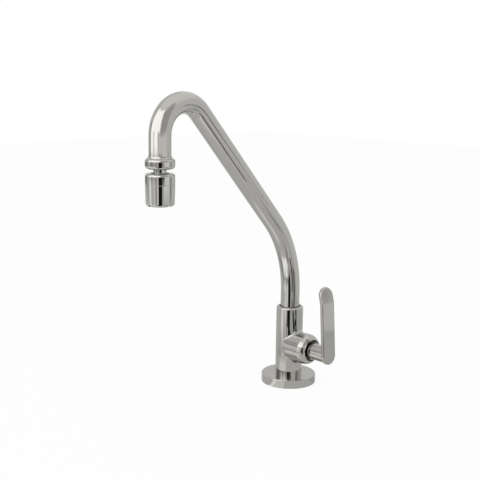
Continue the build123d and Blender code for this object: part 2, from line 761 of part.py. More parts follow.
# Slip ring: a thin plastic zone between the ball and the cap. The head spins with it and tilts over it
with BuildPart() as slip_ring:
    with BuildSketch(outlet_side):
        with BuildLine():
            inside = CenterArc((0, ball_z), slip_inner, slip_ring_foot, slip_ring_top - slip_ring_foot)
            outside = CenterArc((0, ball_z), slip_outer, slip_ring_foot, slip_ring_top - slip_ring_foot)
            Line(inside @ 0, outside @ 0)
            Line(inside @ 1, outside @ 1)
        make_face()
    revolve(axis=outlet_axis)
slip_ring.part.label = "slip_ring"
export_step(slip_ring.part, "parts/slip_ring.step")

# Swivel cap, chromed brass: it holds the ball from above, and the shell screws up into it
with BuildPart() as swivel_cap:
    with BuildSketch(outlet_side):
        with BuildLine():
            mouth_foot = (cap_mouth_d / 2, ball_z + sqrt(cavity_r**2 - cap_mouth_d**2 / 4))
            mouth_mid = (cavity_r * cos(radians(slip_ring_foot)), ball_z + cavity_r * sin(radians(slip_ring_foot)))
            ThreePointArc((cavity_r, ball_z), mouth_mid, mouth_foot)
            Polyline(
                mouth_foot,
                (cap_mouth_d / 2, cap_top),
                (cap_d / 2, cap_top),
                (cap_d / 2, head_seam + seam_bevel),
                (cap_d / 2 - seam_bevel, head_seam),
                (head_spigot_d / 2 + slip_gap, head_seam),
                (head_spigot_d / 2 + slip_gap, ball_z),
                (cavity_r, ball_z),
            )
        make_face()
    revolve(axis=outlet_axis)
    fillet(swivel_cap.edges().filter_by(GeomType.CIRCLE).group_by(Axis.Z)[-1].sort_by(SortBy.RADIUS)[-1], cap_round)
swivel_cap.part.label = "swivel_cap"
export_step(swivel_cap.part, "parts/swivel_cap.step")

# Aerator shell, chromed brass: tapered outside, a lip inside at the bottom and slots for a tool in its rim
with BuildPart() as aerator_shell:
    with BuildSketch(outlet_side):
        with BuildLine():
            Polyline(
                (head_lip_d / 2, head_bottom),
                (head_bottom_d / 2, head_bottom),
                (cap_d / 2, head_seam - seam_bevel),
                (cap_d / 2 - seam_bevel, head_seam),
                (head_spigot_d / 2, head_seam),
                (head_spigot_d / 2, head_spigot_top),
                (head_bore_d / 2, head_spigot_top),
                (head_bore_d / 2, head_bottom + head_lip_t),
                (head_lip_d / 2, head_bottom + head_lip_t),
                close=True,
            )
        make_face()
    revolve(axis=outlet_axis)
    fillet(aerator_shell.edges().filter_by(GeomType.CIRCLE).group_by(Axis.Z)[0].sort_by(SortBy.RADIUS)[-1], head_round)
    with BuildSketch(outlet_face(head_bottom)):
        with PolarLocations(head_bottom_d / 2, tool_slots):
            Rectangle(head_bottom_d / 2, tool_slot_w)
    extrude(amount=tool_slot_h, mode=Mode.SUBTRACT)
aerator_shell.part.label = "aerator_shell"
export_step(aerator_shell.part, "parts/aerator_shell.step")

# Inside the shell, from the rim up: a honeycomb grid, a mixing core, two wire screens, a gasket and the ball's cup
insert_r = head_bore_d / 2 - slip_gap
with BuildPart() as stream_grid:
    with BuildSketch(outlet_face(grid_z)):
        Circle(insert_r)
    extrude(amount=grid_t)
    with BuildSketch(outlet_face(grid_z)):
        with HexLocations(grid_pitch / 2, grid_count, grid_count, major_radius=False):
            RegularPolygon((grid_pitch - grid_wall) / 2, 6, major_radius=False)
        Circle(head_lip_d / 2 - grid_wall, mode=Mode.INTERSECT)
    extrude(amount=grid_t, mode=Mode.SUBTRACT)
stream_grid.part.label = "stream_grid"
export_step(stream_grid.part, "parts/stream_grid.step")

with BuildPart() as mixing_core:
    with BuildSketch(outlet_face(core_z)):
        Circle(insert_r)
        with PolarLocations(core_hole_ring_d / 2, core_holes):
            Circle(core_hole_d / 2, mode=Mode.SUBTRACT)
    extrude(amount=core_t)
    with BuildSketch(outlet_face(core_z)):
        Circle(core_recess_d / 2)
    extrude(amount=core_t / 2, mode=Mode.SUBTRACT)
mixing_core.part.label = "mixing_core"
export_step(mixing_core.part, "parts/mixing_core.step")

with BuildPart() as wire_screens:
    for screen in range(screen_count):
        with BuildSketch(outlet_face(screen_z + screen * (screen_t + screen_gap))):
            Circle(insert_r)
        extrude(amount=screen_t)
    with BuildSketch(outlet_face(screen_z)):
        with GridLocations(screen_pitch, screen_pitch, screen_rows, screen_rows):
            Rectangle(screen_hole, screen_hole)
        Circle(cup_bore_d, mode=Mode.INTERSECT)
    extrude(amount=screen_count * (screen_t + screen_gap), mode=Mode.SUBTRACT)
wire_screens.part.label = "wire_screens"
export_step(wire_screens.part, "parts/wire_screens.step")

with BuildPart() as head_gasket:
    with BuildSketch(outlet_face(gasket_z)):
        Circle(insert_r)
        Circle(cup_bore_d, mode=Mode.SUBTRACT)
    extrude(amount=head_gasket_t)
head_gasket.part.label = "head_gasket"
export_step(head_gasket.part, "parts/head_gasket.step")

with BuildPart() as ball_cup:
    with BuildSketch(outlet_face(cup_z)):
        Circle(insert_r)
        Circle(cup_bore_d / 2, mode=Mode.SUBTRACT)
    extrude(amount=head_seam - cup_z)
    with BuildSketch(outlet_side):
        with BuildLine():
            bowl = CenterArc((0, ball_z), slip_inner, -90, 180)
            Line(bowl @ 0, bowl @ 1)
        make_face()
    revolve(axis=outlet_axis, mode=Mode.SUBTRACT)
ball_cup.part.label = "ball_cup"
export_step(ball_cup.part, "parts/ball_cup.step")
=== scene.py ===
from math import cos, radians, sin, sqrt, tau

import bmesh
import bpy
from mathutils import Euler, Matrix, Vector


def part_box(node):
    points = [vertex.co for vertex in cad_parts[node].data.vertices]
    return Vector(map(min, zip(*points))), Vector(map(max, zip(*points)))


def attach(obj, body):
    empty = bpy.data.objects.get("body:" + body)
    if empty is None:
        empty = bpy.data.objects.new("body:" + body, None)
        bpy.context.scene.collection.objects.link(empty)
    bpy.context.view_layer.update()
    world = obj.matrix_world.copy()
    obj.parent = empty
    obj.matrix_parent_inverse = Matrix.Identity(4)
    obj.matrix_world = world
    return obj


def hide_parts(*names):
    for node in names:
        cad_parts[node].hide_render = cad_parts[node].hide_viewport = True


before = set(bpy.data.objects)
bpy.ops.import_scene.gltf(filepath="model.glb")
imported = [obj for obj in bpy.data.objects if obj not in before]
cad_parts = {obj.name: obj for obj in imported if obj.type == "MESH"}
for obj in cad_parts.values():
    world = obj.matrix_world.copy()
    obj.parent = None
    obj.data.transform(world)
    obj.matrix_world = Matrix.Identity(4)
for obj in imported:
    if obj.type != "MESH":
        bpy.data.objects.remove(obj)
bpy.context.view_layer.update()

# Camera: a portrait lens at the photograph's height and bearing, looking a little down on the tap, with the
# small roll that the photograph has.
lens_length = 65.54
film_width = 36.0
sight_limit = 50.0
camera_place = (0.5846, -0.6326, 0.3056)
camera_bearing = 46.17
camera_pitch = -10.53
camera_roll = 0.74
camera_data = bpy.data.cameras.new("camera")
camera_data.lens = lens_length
camera_data.sensor_width = film_width
camera_data.clip_end = sight_limit
camera = bpy.data.objects.new("camera", camera_data)
camera_turn = Euler((radians(90 + camera_pitch), 0, radians(camera_bearing))).to_matrix()
camera_turn = camera_turn @ Matrix.Rotation(radians(camera_roll), 3, "Z")
camera.matrix_world = Matrix.Translation(camera_place) @ camera_turn.to_4x4()
bpy.context.collection.objects.link(camera)
bpy.context.scene.camera = camera
bpy.context.scene.view_settings.view_transform = "Standard"

# Studio floor: a plain white sheet under the tap. It is white to the camera, keeps a faint shadow, and is
# clear from below, so that the tap's underside shows.
floor_size = 3.0
floor_colour = (0.9, 0.9, 0.9, 1)
floor_glow = 1.0
floor_shadow = 0.06


def stage_mesh(name, form):
    """Puts a bmesh of the studio into the scene as part of the stage."""
    mesh = bpy.data.meshes.new(name)
    form.to_mesh(mesh)
    form.free()
    piece = bpy.data.objects.new(name, mesh)
    bpy.context.collection.objects.link(piece)
    return piece


def empty_paint(name):
    """A material with no shader yet, with its nodes and links."""
    paint = bpy.data.materials.new(name)
    paint.use_nodes = True
    paint.node_tree.nodes.clear()
    return paint, paint.node_tree.nodes, paint.node_tree.links


def seen_directly(nodes, links):
    """1 for what the camera sees, straight or through something clear, and 0 for any other ray."""
    rays = nodes.new("ShaderNodeLightPath")
    seen = nodes.new("ShaderNodeMath")
    seen.operation = "MAXIMUM"
    links.new(rays.outputs["Is Camera Ray"], seen.inputs[0])
    links.new(rays.outputs["Is Transmission Ray"], seen.inputs[1])
    return seen.outputs[0]


def mix_shaders(nodes, links, share, first, second):
    """The first shader where the share is 0, and the second where it is 1."""
    mix = nodes.new("ShaderNodeMixShader")
    links.new(share, mix.inputs["Fac"])
    links.new(first, mix.inputs[1])
    links.new(second, mix.inputs[2])
    return mix.outputs[0]


def floor_white():
    """Paper that glows white to the camera, less the shadow's share, and is matt to any other ray."""
    paint, nodes, links = empty_paint("floor_white")
    matt = nodes.new("ShaderNodeBsdfDiffuse")
    matt.inputs["Color"].default_value = floor_colour
    glow = nodes.new("ShaderNodeEmission")
    glow.inputs["Strength"].default_value = floor_glow
    share = nodes.new("ShaderNodeMath")
    share.operation = "MULTIPLY"
    share.inputs[1].default_value = 1 - floor_shadow
    links.new(seen_directly(nodes, links), share.inputs[0])
    white = mix_shaders(nodes, links, share.outputs[0], matt.outputs[0], glow.outputs[0])
    side = nodes.new("ShaderNodeNewGeometry")
    clear = nodes.new("ShaderNodeBsdfTransparent")
    one_sided = mix_shaders(nodes, links, side.outputs["Backfacing"], white, clear.outputs[0])
    out = nodes.new("ShaderNodeOutputMaterial")
    links.new(one_sided, out.inputs["Surface"])
    return paint


floor_form = bmesh.new()
bmesh.ops.create_grid(floor_form, x_segments=1, y_segments=1, size=floor_size)
floor = stage_mesh("floor", floor_form)
floor.visible_glossy = False
floor.data.materials.append(floor_white())

# Light tent: a round paper wall with the tap in its middle, seen in reflections alone. A card is a part of
# the wall with its own brightness: bearings from the camera's side, growing to its right, in degrees, then
# heights in metres, the brightness, and how soft its upright and its level edges are.
tent_middle = (0.0, -0.13)
tent_radius = 0.45
tent_foot = -0.35
tent_top = 0.95
tent_columns = 360
tent_rows = 130
tent_paper = 0.67
tent_cards = {
    "back wall, upper right": (130, 180, 0.3, 1.2, 0.80, 10, 0.1),
    "right wall": (60, 150, -0.4, 1.2, 0.70, 4, 0.05),
    "right wall, foot": (60, 110, -0.5, 0, 0.61, 8, 0.002),
    "right wall, upper": (64, 180, 0.55, 1.2, 0.87, 6, 0.2),
    "left wall, dark side": (-116, -88, 0.14, 0.4, 0.50, 4, 0.03),
    "softbox": (-90, -20, 0.2, 1.2, 1.60, 6, 0.006),
    "softbox, right end": (-24, 3, 0.30, 1.2, 1.60, 12, 0.08),
    "softbox, dimmer band": (-62, -50, 0.19, 0.31, 0.95, 6, 0.03),
    "grey wall": (4, 62, 0.27, 0.72, 0.46, 20, 0.06),
    "grey wall, light foot": (-14, 70, 0.205, 0.25, 0.80, 5, 0.02),
    "grey wall, upper": (24, 60, 0.72, 1.2, 0.62, 12, 0.1),
    "left wall, low": (-160, -90, -0.4, 0.11, 0.78, 8, 0.03),
    "left strips": (-60, -20, -0.4, 0.205, 0.64, 3, 0.02),
    "left strips, low": (-92, -22, -0.4, 0.11, 0.84, 6, 0.03),
    "light strip": (-76, -62, -0.4, 0.205, 1.10, 3, 0.02),
    "light strip, low": (-90, -64, 0.07, 0.11, 1.45, 4, 0.03),
    "pale strip": (-43, -31, -0.4, 0.205, 0.80, 3, 0.02),
    "pale strip, low": (-43, -29, -0.4, 0.11, 1.12, 4, 0.03),
    "dark strip": (-30, -18, -0.4, 0.205, 0.38, 3, 0.02),
    "white strip": (-20, -10, 0.06, 0.205, 0.86, 2, 0.02),
    "softbox's frame": (-104, -12, 0.18, 0.2, 0.34, 4, 0.006),
    "frame's light edge": (-86, -72, 0.18, 0.2, 0.62, 4, 0.006),
    "frame's dark edge": (-66, -54, 0.18, 0.2, 0.18, 4, 0.006),
    "frame's pale edge": (-38, -26, 0.18, 0.2, 0.50, 4, 0.006),
    "dim opening": (14, 30, -0.4, 0.205, 0.55, 4, 0.02),
    "right opening, above": (27, 75, 0.13, 0.205, 0.88, 4, 0.02),
    "right opening, below": (22, 60, -0.4, 0.05, 0.47, 4, 0.02),
    "right post": (76, 99, 0.12, 0.205, 0.44, 3, 0.03),
    "dark wall, left": (-142, -108, 0.16, 0.2, 0.24, 5, 0.01),
    "gap by the camera": (-9, 16, 0.0, 0.205, 0.012, 2, 0.01),
    "gap by the camera, high": (10, 34, 0.17, 0.19, 0.03, 3, 0.006),
    "gap by the camera, low": (-18, 12, -0.4, 0.04, 0.012, 2, 0.03),
    "ceiling's light": (-200, 200, 0.9, 1.4, 0.88, 10, 0.12),
}
camera_side = radians(camera_bearing - 90)


def ease(value):
    """0 below 0, 1 above 1, with a smooth rise between them."""
    value = min(max(value, 0.0), 1.0)
    return value * value * (3 - 2 * value)


def between(value, start, end, softness):
    """1 from start to end, 0 elsewhere, with soft edges."""
    return ease((value - start) / softness + 0.5) * ease((end - value) / softness + 0.5)


def tent_level(bearing, height):
    """Brightness of the tent's wall at this bearing and height."""
    level = tent_paper
    for start, end, low, high, card, soft_side, soft_edge in tent_cards.values():
        share = between(bearing, start, end, soft_side) * between(height, low, high, soft_edge)
        level += (card - level) * share
    return level


def on_tent(bearing, height, inside=0.0):
    """The place on the tent's wall at this bearing and height, or this far inside it."""
    angle = camera_side + radians(bearing)
    reach = tent_radius - inside
    return tent_middle[0] + reach * cos(angle), tent_middle[1] + reach * sin(angle), height


def mirrored_only(piece):
    """Leaves a piece of the studio visible in reflections alone."""
    piece.visible_camera = False
    piece.visible_diffuse = False
    piece.visible_shadow = False
    piece.visible_transmission = False
    piece.visible_volume_scatter = False


def lit_by(name, gloss=None, ior=None):
    """A glow whose brightness the mesh carries, under a gloss of this roughness where one is given."""
    paint, nodes, links = empty_paint(name)
    level = nodes.new("ShaderNodeAttribute")
    level.attribute_name = "level"
    glow = nodes.new("ShaderNodeEmission")
    links.new(level.outputs["Fac"], glow.inputs["Strength"])
    surface = glow.outputs[0]
    if gloss is not None:
        shine = nodes.new("ShaderNodeBsdfGlossy")
        shine.inputs["Roughness"].default_value = gloss
        edge_on = nodes.new("ShaderNodeFresnel")
        edge_on.inputs["IOR"].default_value = ior
        surface = mix_shaders(nodes, links, edge_on.outputs[0], surface, shine.outputs[0])
    out = nodes.new("ShaderNodeOutputMaterial")
    links.new(surface, out.inputs["Surface"])
    return paint


tent_form = bmesh.new()
tent_light = tent_form.verts.layers.float.new("level")
tent_rings = []
for row in range(tent_rows + 1):
    height = tent_foot + (tent_top - tent_foot) * row / tent_rows
    ring = []
    for column in range(tent_columns):
        bearing = column * 360 / tent_columns - 180
        corner = tent_form.verts.new(on_tent(bearing, height))
        corner[tent_light] = tent_level(bearing, height)
        ring.append(corner)
    tent_rings.append(ring)
for low_ring, high_ring in zip(tent_rings, tent_rings[1:]):
    for column in range(tent_columns):
        after = (column + 1) % tent_columns
        tent_form.faces.new((low_ring[after], low_ring[column], high_ring[column], high_ring[after]))
tent = stage_mesh("light_tent", tent_form)
mirrored_only(tent)
lit_paper = lit_by("lit_paper")
tent.data.materials.append(lit_paper)

# The board under the tap is glossy and, seen edge on, mirrors the tent, but for a matt mat round the flange.
# Places on it are metres to the camera's right and towards the camera, from the tap's axis. A glint is a lit
# part of it: bearings from and to, distances near and far, brightness, softness.
board_side = 0.42
board_back = 0.42
board_front = 0.205
board_level = 0.70
board_gloss = 0.12
board_ior = 1.5
board_columns = 180
board_mat = 0.1
board_flange = 0.046
board_rings = (0.025, board_flange, 0.05, 0.075, board_mat)
board_glints = {
    "mat": (-200, 200, 0, board_mat, 0.60, 1),
    "round the flange, bright": (-50, -40, 0, board_flange, 1.15, 8),
    "round the flange, pale": (-40, -14, 0, board_flange, 0.82, 6),
    "round the flange, right end": (66, 110, 0, board_flange, 0.48, 10),
    "before the barrel": (-82, -24, 0.05, 0.08, 0.88, 10),
}
glossy_face = 0
matt_face = 1
nearly_none = 1e-6
to_right = Vector((sin(-camera_side), cos(-camera_side), 0))
to_camera = Vector((cos(camera_side), sin(camera_side), 0))


def board_reach(across, along):
    """How far the board goes from the tap's axis in this direction."""
    to_end = board_front / along if along > 0 else board_back / max(-along, nearly_none)
    return min(to_end, board_side / max(abs(across), nearly_none))


def board_brightness(bearing, reach):
    """Brightness of the board at this bearing and distance from the tap's axis."""
    level = board_level
    for start, end, near, far, glint, softness in board_glints.values():
        share = between(bearing, start, end, softness) if near <= reach <= far else 0
        level += (glint - level) * share
    return level


board_form = bmesh.new()
board_light = board_form.verts.layers.float.new("level")
board_middle = board_form.verts.new((0, 0, 0))
board_middle[board_light] = board_level
spokes = []
for column in range(board_columns):
    bearing = column * 360 / board_columns - 180
    across = sin(radians(bearing))
    along = cos(radians(bearing))
    spoke = [board_middle]
    for reach in (*board_rings, board_reach(across, along)):
        corner = board_form.verts.new((to_right * across + to_camera * along) * reach)
        corner[board_light] = board_brightness(bearing, reach)
        spoke.append(corner)
    spokes.append(spoke)
for spoke, after in zip(spokes, spokes[1:] + spokes[:1]):
    board_form.faces.new((board_middle, after[1], spoke[1])).material_index = matt_face
    for place in range(1, len(spoke) - 1):
        face = board_form.faces.new((spoke[place], after[place], after[place + 1], spoke[place + 1]))
        face.material_index = matt_face if place < len(board_rings) else glossy_face
board = stage_mesh("board", board_form)
mirrored_only(board)
board.data.materials.append(lit_by("lit_board", board_gloss, board_ior))
board.data.materials.append(lit_paper)

# Two dark slots, one over the board and one in the tent's wall, draw the fine lines on the slanted tube. The
# board's has its sides and ends in metres to the right and towards the camera, and the wall's slants down.
slot_level = 0.02
slot_clear = 0.002
board_slot_sides = (0.095, 0.14)
board_slot_ends = (0.17, 0.32)
wall_slot_bearings = (77, 94)
wall_slot_tops = (0.180, 0.075)
wall_slot_feet = (0.165, 0.060)
wall_slot_steps = 8


def dark_slot(name, rows):
    """A dark strip of the studio through these rows of points."""
    form = bmesh.new()
    lit = form.verts.layers.float.new("level")
    made = [[form.verts.new(point) for point in row] for row in rows]
    for row in made:
        for corner in row:
            corner[lit] = slot_level
    for first, second in zip(made, made[1:]):
        for place in range(len(first) - 1):
            form.faces.new((first[place], first[place + 1], second[place + 1], second[place]))
    slot = stage_mesh(name, form)
    mirrored_only(slot)
    slot.data.materials.append(lit_paper)


def on_board(right, towards):
    """The place just over the board, this far to the right and towards the camera."""
    return to_right * right + to_camera * towards + Vector((0, 0, slot_clear))


def wall_slot_edge(heights):
    """Points along one edge of the wall's slot, between its heights at the two ends."""
    points = []
    for step in range(wall_slot_steps + 1):
        share = step / wall_slot_steps
        bearing = wall_slot_bearings[0] + (wall_slot_bearings[1] - wall_slot_bearings[0]) * share
        points.append(on_tent(bearing, heights[0] + (heights[1] - heights[0]) * share, slot_clear))
    return points


dark_slot("board_slot", [[on_board(side, end) for side in board_slot_sides] for end in board_slot_ends])
dark_slot("wall_slot", [wall_slot_edge(wall_slot_tops), wall_slot_edge(wall_slot_feet)])

# Room beyond the tent: soft white light from all round, and a pale ceiling in the reflections. A large soft
# lamp on the left gives the rubber and plastic pieces their form.
room_white = (1, 1, 1, 1)
room_light = 0.75
ceiling_colour = (0.88, 0.88, 0.87, 1)
lamp_width = 1.2
lamp_height = 0.9
lamp_power = 4.0
lamp_place = to_right * -0.75 + to_camera * 0.55 + Vector((0, 0, 0.95))
lamp_aim = Vector((0, 0, 0.12))


def room_world():
    """The room's light, with a white backdrop where the camera looks past the floor."""
    world = bpy.data.worlds.new("studio")
    world.use_nodes = True
    nodes = world.node_tree.nodes
    links = world.node_tree.links
    nodes.clear()
    lights = []
    for colour, strength in ((room_white, room_light), (ceiling_colour, 1.0), (room_white, 1.0)):
        light = nodes.new("ShaderNodeBackground")
        light.inputs["Color"].default_value = colour
        light.inputs["Strength"].default_value = strength
        lights.append(light.outputs[0])
    even, ceiling, backdrop = lights
    rays = nodes.new("ShaderNodeLightPath")
    unseen = mix_shaders(nodes, links, rays.outputs["Is Glossy Ray"], even, ceiling)
    room = mix_shaders(nodes, links, seen_directly(nodes, links), unseen, backdrop)
    out = nodes.new("ShaderNodeOutputWorld")
    links.new(room, out.inputs["Surface"])
    return world


bpy.context.scene.world = room_world()
lamp_data = bpy.data.lights.new("soft_lamp", "AREA")
lamp_data.shape = "RECTANGLE"
lamp_data.size = lamp_width
lamp_data.size_y = lamp_height
lamp_data.energy = lamp_power
lamp = bpy.data.objects.new("soft_lamp", lamp_data)
lamp.location = lamp_place
lamp.rotation_euler = (lamp_place - lamp_aim).to_track_quat("Z", "Y").to_euler()
lamp.visible_glossy = False
lamp.visible_camera = False
bpy.context.collection.objects.link(lamp)

# Valve body: barrel and side branch in one brass casting, ground, polished and plated with nickel and chrome.
# The polishing wheel leaves it very slightly wavy, and the plating has a faint haze that comes and goes.
# Waves are counted by the metre, and so are the lathe's lines and the mould's grains further on.
chrome_tint = (0.565, 0.555, 0.522, 1)
chrome_second_tint = (0.551, 0.544, 0.516, 1)
chrome_clean = 0.028
chrome_hazy = 0.055
haze_patches = 45.0
haze_starts = 0.42
haze_full = 0.68
cast_waves = 120.0
cast_wave_depth = 1.2e-5


def new_group(name, inputs, outputs):
    """A shader node group with these sockets; gives it, its nodes and links, its way in and its way out."""
    group = bpy.data.node_groups.new(name, "ShaderNodeTree")
    for label, kind, value in inputs:
        socket = group.interface.new_socket(label, in_out="INPUT", socket_type="NodeSocket" + kind)
        if value is not None:
            socket.default_value = value
    for label, kind in outputs:
        group.interface.new_socket(label, in_out="OUTPUT", socket_type="NodeSocket" + kind)
    way_in = group.nodes.new("NodeGroupInput").outputs
    way_out = group.nodes.new("NodeGroupOutput").inputs
    return group, group.nodes, group.links, way_in, way_out


def noise_in(nodes, links, vector, scale, detail, rough):
    """A noise texture on this vector; the scale is a number or a socket."""
    noise = nodes.new("ShaderNodeTexNoise")
    noise.inputs["Detail"].default_value = detail
    noise.inputs["Roughness"].default_value = rough
    if isinstance(scale, float):
        noise.inputs["Scale"].default_value = scale
    else:
        links.new(scale, noise.inputs["Scale"])
    links.new(vector, noise.inputs["Vector"])
    return noise.outputs["Fac"]


def spread(nodes, links, value, low=0.0, high=1.0, to_low=0.0, to_high=1.0):
    """Maps a value from one range to another; the new ends are numbers or sockets."""
    fit = nodes.new("ShaderNodeMapRange")
    fit.inputs["From Min"].default_value = low
    fit.inputs["From Max"].default_value = high
    for name, end in (("To Min", to_low), ("To Max", to_high)):
        if isinstance(end, float):
            fit.inputs[name].default_value = end
        else:
            links.new(end, fit.inputs[name])
    links.new(value, fit.inputs["Value"])
    return fit.outputs["Result"]


def blend_colours(nodes, links, share, first, second):
    """A colour between two sockets' colours, by the share."""
    mix = nodes.new("ShaderNodeMix")
    mix.data_type = "RGBA"
    links.new(share, mix.inputs[0])
    colour_in = [socket for socket in mix.inputs if socket.type == "RGBA"]
    for socket, colour in zip(colour_in, (first, second)):
        links.new(colour, socket)
    return [socket for socket in mix.outputs if socket.type == "RGBA"][0]


def drift(nodes, links, share, colours, roughness, way_out):
    """Puts out a colour and a roughness, each going from its first socket to its second by the share."""
    links.new(blend_colours(nodes, links, share, *colours), way_out["Color"])
    smooth, rough = roughness
    links.new(spread(nodes, links, share, to_low=smooth, to_high=rough), way_out["Roughness"])


def plating_group():
    """Chrome over nickel: a haze that changes tint and roughness, and the waves that the wheel left."""
    group, nodes, links, way_in, way_out = new_group(
        "plating",
        (
            ("Place", "Vector", None),
            ("Waves", "Float", cast_waves),
            ("Tint", "Color", chrome_tint),
            ("Second Tint", "Color", chrome_second_tint),
            ("Clean", "Float", chrome_clean),
            ("Hazy", "Float", chrome_hazy),
        ),
        (("Color", "Color"), ("Roughness", "Float"), ("Height", "Float")),
    )
    haze = noise_in(nodes, links, way_in["Place"], haze_patches, detail=4.0, rough=0.6)
    haze = spread(nodes, links, haze, haze_starts, haze_full)
    tints = way_in["Tint"], way_in["Second Tint"]
    drift(nodes, links, haze, tints, (way_in["Clean"], way_in["Hazy"]), way_out)
    waves = noise_in(nodes, links, way_in["Place"], way_in["Waves"], detail=1.0, rough=0.4)
    links.new(waves, way_out["Height"])
    return group


def new_finish(name, middle=(0, 0, 0), lie="Z"):
    """A material that knows the place on the piece, with Z along the piece's own axis."""
    paint = bpy.data.materials.new(name)
    paint.use_nodes = True
    nodes = paint.node_tree.nodes
    links = paint.node_tree.links
    place = nodes.new("ShaderNodeTexCoord")
    centred = nodes.new("ShaderNodeVectorMath")
    centred.operation = "SUBTRACT"
    centred.inputs[1].default_value = middle
    links.new(place.outputs["Object"], centred.inputs[0])
    turned = nodes.new("ShaderNodeVectorRotate")
    turned.rotation_type = "Y_AXIS"
    turned.inputs["Angle"].default_value = radians(-90) if lie == "X" else 0.0
    turned.name = "place"
    links.new(centred.outputs[0], turned.inputs["Vector"])
    return paint


def use_group(paint, group, **values):
    """Places a node group in a material, with its own values, and gives its outputs."""
    nodes = paint.node_tree.nodes
    placed = nodes.new("ShaderNodeGroup")
    placed.node_tree = group
    paint.node_tree.links.new(nodes["place"].outputs[0], placed.inputs["Place"])
    for label, value in values.items():
        placed.inputs[label.replace("_", " ")].default_value = value
    return placed.outputs


def cover(paint, skin, metallic=0.0):
    """Gives the material's shader the skin's colour and roughness."""
    shader = paint.node_tree.nodes["Principled BSDF"].inputs
    shader["Metallic"].default_value = metallic
    paint.node_tree.links.new(skin["Color"], shader["Base Color"])
    paint.node_tree.links.new(skin["Roughness"], shader["Roughness"])


def raise_by(paint, height, depth):
    """A bump of this depth in metres, over the relief that the material has already."""
    nodes = paint.node_tree.nodes
    links = paint.node_tree.links
    normal = nodes["Principled BSDF"].inputs["Normal"]
    bump = nodes.new("ShaderNodeBump")
    bump.inputs["Distance"].default_value = depth
    links.new(height, bump.inputs["Height"])
    if normal.is_linked:
        links.new(normal.links[0].from_socket, bump.inputs["Normal"])
    links.new(bump.outputs["Normal"], normal)


def chrome_finish(name, waves, depth, middle=(0, 0, 0), lie="Z"):
    """Chrome plating on brass with this waviness."""
    paint = new_finish(name, middle, lie)
    skin = use_group(paint, plating, Waves=waves)
    cover(paint, skin, metallic=1.0)
    raise_by(paint, skin["Height"], depth)
    return paint


def dress(paint, *names):
    """Gives pieces of the frame their finish."""
    for name in names:
        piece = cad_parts[name]
        piece.data.materials.clear()
        piece.data.materials.append(paint)


plating = plating_group()
dress(chrome_finish("cast_chrome", cast_waves, cast_wave_depth), "valve_body")

# Deck flange: a turned brass disc that the barrel stands on, chromed like it. The lathe's fine rings still
# show through the plating.
turned_waves = 60.0
turned_wave_depth = 4e-6
lathe_lines = 2600.0
lathe_depth = 2.5e-7


def turning_group():
    """Fine rings round the piece's own axis, as the lathe's tool leaves them on its sides and faces."""
    group, nodes, links, way_in, way_out = new_group(
        "turning_marks", (("Place", "Vector", None), ("Lines", "Float", lathe_lines)), (("Height", "Float"),)
    )
    apart = nodes.new("ShaderNodeSeparateXYZ")
    links.new(way_in["Place"], apart.inputs[0])
    flat = nodes.new("ShaderNodeCombineXYZ")
    links.new(apart.outputs["X"], flat.inputs["X"])
    links.new(apart.outputs["Y"], flat.inputs["Y"])
    radius = nodes.new("ShaderNodeVectorMath")
    radius.operation = "LENGTH"
    links.new(flat.outputs[0], radius.inputs[0])
    ring_place = nodes.new("ShaderNodeCombineXYZ")
    links.new(radius.outputs["Value"], ring_place.inputs["X"])
    links.new(apart.outputs["Z"], ring_place.inputs["Y"])
    rings = noise_in(nodes, links, ring_place.outputs[0], way_in["Lines"], detail=2.0, rough=0.6)
    links.new(rings, way_out["Height"])
    return group


def add_rings(paint, lines, depth):
    """Adds the lathe's rings, this many to the metre and this deep."""
    raise_by(paint, use_group(paint, turning, Lines=lines)["Height"], depth)


def turned_chrome(name, middle=(0, 0, 0), lie="Z"):
    """Chrome on a turned piece, with the lathe's rings round its own axis."""
    paint = chrome_finish(name, turned_waves, turned_wave_depth, middle, lie)
    add_rings(paint, lathe_lines, lathe_depth)
    return paint


turning = turning_group()
dress(turned_chrome("turned_chrome"), "deck_flange")

# Flange pad and deck pad: black rubber rings, one each side of the worktop. The rubber is matt, with a fine
# grain from its mould and a grey bloom where it has aged.
rubber_black = (0.030, 0.030, 0.032, 1)
rubber_bloom = (0.075, 0.074, 0.072, 1)
rubber_smooth = 0.55
rubber_rough = 0.78
rubber_grains = 2600.0
rubber_grain_depth = 4e-5
bloom_patches = 160.0
bloom_starts = 0.40
bloom_full = 0.72


def moulded_group():
    """The skin of a moulded piece: patches of a paler bloom, rougher than the body, and the mould's grain."""
    group, nodes, links, way_in, way_out = new_group(
        "moulded_skin",
        (
            ("Place", "Vector", None),
            ("Grains", "Float", rubber_grains),
            ("Patches", "Float", bloom_patches),
            ("Body Color", "Color", rubber_black),
            ("Bloom Color", "Color", rubber_bloom),
            ("Smooth", "Float", rubber_smooth),
            ("Rough", "Float", rubber_rough),
        ),
        (("Color", "Color"), ("Roughness", "Float"), ("Height", "Float")),
    )
    bloom = noise_in(nodes, links, way_in["Place"], way_in["Patches"], detail=5.0, rough=0.65)
    bloom = spread(nodes, links, bloom, bloom_starts, bloom_full)
    colours = way_in["Body Color"], way_in["Bloom Color"]
    drift(nodes, links, bloom, colours, (way_in["Smooth"], way_in["Rough"]), way_out)
    grain = noise_in(nodes, links, way_in["Place"], way_in["Grains"], detail=3.0, rough=0.6)
    links.new(grain, way_out["Height"])
    return group


def moulded_finish(name, body, bloom, smooth, rough, grains, depth, patches=bloom_patches):
    """Rubber, plastic or fired clay: a body colour with a paler bloom, and the grain of its mould."""
    paint = new_finish(name)
    colours = {"Body_Color": body, "Bloom_Color": bloom}
    skin = use_group(paint, moulded, Grains=grains, Patches=patches, Smooth=smooth, Rough=rough, **colours)
    cover(paint, skin)
    raise_by(paint, skin["Height"], depth)
    return paint


